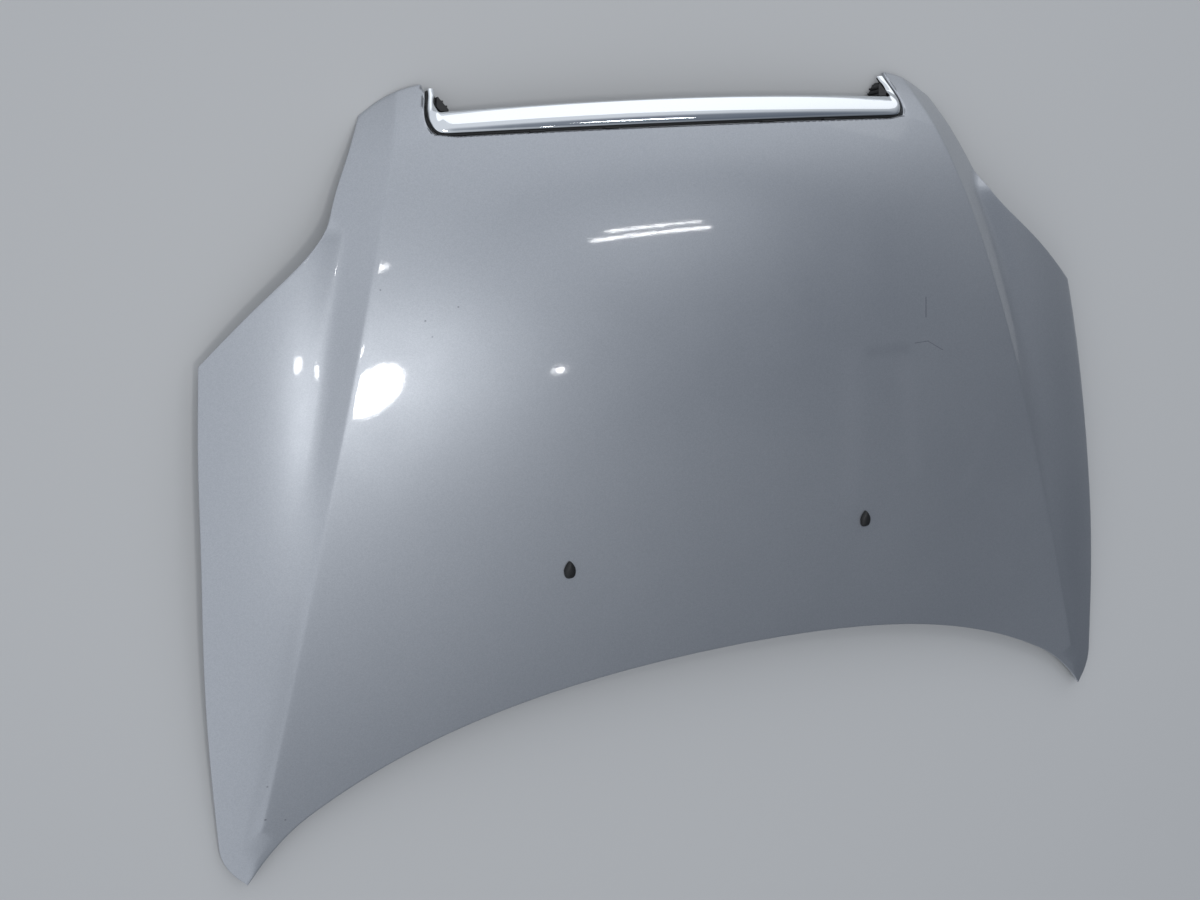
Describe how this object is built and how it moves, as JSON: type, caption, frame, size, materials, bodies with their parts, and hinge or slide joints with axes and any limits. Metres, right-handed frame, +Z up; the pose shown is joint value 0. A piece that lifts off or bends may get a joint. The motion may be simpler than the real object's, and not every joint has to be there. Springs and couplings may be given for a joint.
{
  "type": "car bonnet",
  "caption": "Crowned car bonnet with side creases, a grille cut-out edged in bright trim, two washer jets and a pressed frame below.",
  "frame": {"origin": "middle of the part's box in plan, at its lowest level", "axes": "+X to the car's side shown on the picture's right, +Y towards the nose, +Z up; the panel lies crown up as it rests on a floor"},
  "size_m": [1.46, 1.0234, 0.122],
  "materials": {
    "silver_paint": "metallic silver under clear coat",
    "frame_paint": "thin satin silver",
    "chrome": "polished plating",
    "black_plastic": "moulded black",
    "rubber": "matt",
    "zinc": "zinc plated",
    "steel": "bare",
    "mastic": "dull sealant"
  },
  "bodies": {
    "root": {"outer_panel": "silver_paint", "inner_panel": "frame_paint", "hinge_reinforcement_left": "zinc", "hinge_nut_left_rear": "steel", "hinge_nut_left_front": "steel", "hinge_reinforcement_right": "zinc", "hinge_nut_right_rear": "steel", "hinge_nut_right_front": "steel", "latch_reinforcement": "zinc", "striker_plate": "zinc", "striker_loop": "steel", "striker_bolt_left": "zinc", "latch_nut_left": "steel", "striker_bolt_right": "zinc", "latch_nut_right": "steel", "rubber_stop_left": "rubber", "rubber_stop_right": "rubber", "washer_jet_left": "black_plastic", "washer_jet_right": "black_plastic", "mastic_bead_1": "mastic", "mastic_bead_2": "mastic", "mastic_bead_3": "mastic", "mastic_bead_4": "mastic", "mastic_bead_5": "mastic", "mastic_bead_6": "mastic", "mastic_bead_7": "mastic", "mastic_bead_8": "mastic", "mastic_bead_9": "mastic", "mastic_bead_10": "mastic", "mastic_bead_11": "mastic", "mastic_bead_12": "mastic", "grille_trim": "chrome", "trim_carrier": "black_plastic", "trim_screw_1": "zinc", "trim_screw_2": "zinc", "trim_screw_3": "zinc", "trim_screw_4": "zinc", "prop_rod_clip": "black_plastic"}
  },
  "joints": []
}
